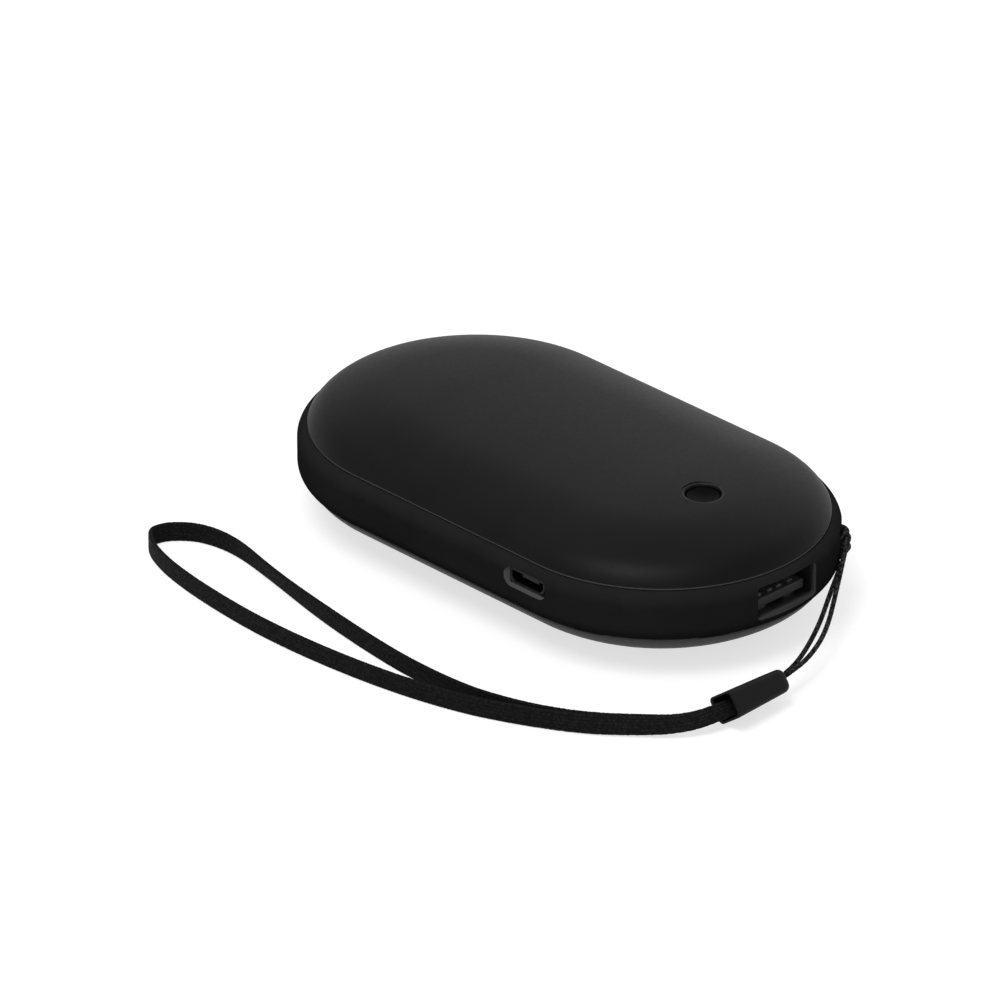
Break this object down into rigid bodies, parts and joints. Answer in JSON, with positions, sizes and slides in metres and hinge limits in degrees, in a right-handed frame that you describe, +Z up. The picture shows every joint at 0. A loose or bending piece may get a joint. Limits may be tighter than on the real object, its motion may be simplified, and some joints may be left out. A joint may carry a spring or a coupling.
{
  "type": "rechargeable hand warmer",
  "caption": "Pebble-shaped rechargeable hand warmer with domed covers, a socketed middle band, a dished push button, heating films and battery inside, and a wrist strap on a lanyard post.",
  "frame": {"origin": "bottom centre of the case, on the surface it lies on", "axes": "+X along the case towards the push button and the output socket, +Y to the back, away from the charging socket, +Z up"},
  "size_m": [0.1119, 0.0841, 0.0225],
  "materials": {
    "cover_plastic": "soft-touch black",
    "frame_plastic": "satin black",
    "button_plastic": "satin black",
    "ferrule_plastic": "satin black",
    "webbing": "woven black",
    "cord": "braided black",
    "socket_steel": "dark plated",
    "socket_plastic": "moulded black",
    "contact_metal": "gilt",
    "board_laminate": "green solder mask",
    "screw_steel": "zinc plated",
    "chip_plastic": "moulded",
    "ferrite": "sintered",
    "ceramic": "fired",
    "lamp_resin": "clear",
    "battery_foil": "laminated pouch",
    "nickel": "strip",
    "film_polyimide": "amber film",
    "insulation_pad": "felt",
    "lead_red": "silicone",
    "lead_white": "silicone",
    "sensor_epoxy": "dipped"
  },
  "bodies": {
    "case": {"top_cover": "cover_plastic", "bottom_cover": "cover_plastic", "middle_frame": "frame_plastic", "switch_body": "chip_plastic", "switch_plate": "socket_steel", "circuit_board": "board_laminate", "board_screws": "screw_steel", "indicator_lamps": "lamp_resin", "power_inductor": "ferrite", "control_chips": "chip_plastic", "capacitors": "ceramic", "usb_a_shell": "socket_steel", "usb_a_tongue": "socket_plastic", "usb_a_contacts": "contact_metal", "micro_usb_shell": "socket_steel", "micro_usb_tongue": "socket_plastic", "micro_usb_contacts": "contact_metal", "battery_cell": "battery_foil", "battery_tabs": "nickel", "battery_protection_board": "board_laminate", "battery_leads": "lead_red", "upper_heating_film": "film_polyimide", "lower_heating_film": "film_polyimide", "upper_heater_leads": "lead_white", "lower_heater_leads": "lead_white", "upper_insulation": "insulation_pad", "lower_insulation": "insulation_pad", "thermistor": "sensor_epoxy", "thermistor_leads": "lead_white"},
    "power_button": {"power_button": "button_plastic"},
    "switch_plunger": {"switch_plunger": "chip_plastic"},
    "strap": {"strap_knot": "cord", "strap_cord_inner": "cord", "strap_cord_outer": "cord", "strap_ferrule": "ferrule_plastic", "wrist_strap": "webbing"}
  },
  "joints": [
    {"name": "power_button_press", "type": "slide", "parent": "case", "child": "power_button", "axis": [0, 0, -1], "range_m": [0, 0.0005], "stiffness_N_per_m": 400},
    {"name": "switch_plunger_press", "type": "slide", "parent": "case", "child": "switch_plunger", "axis": [0, 0, -1], "range_m": [0, 0.0005]},
    {"name": "strap_swing", "type": "hinge", "parent": "case", "child": "strap", "pos_m": [0.04188, 0.0188, 0.01125], "axis": [0, 0, 1], "range_deg": [0, 110]}
  ],
  "couplings": [
    {"joint": "switch_plunger_press", "follows": "power_button_press", "ratio": 1}
  ]
}
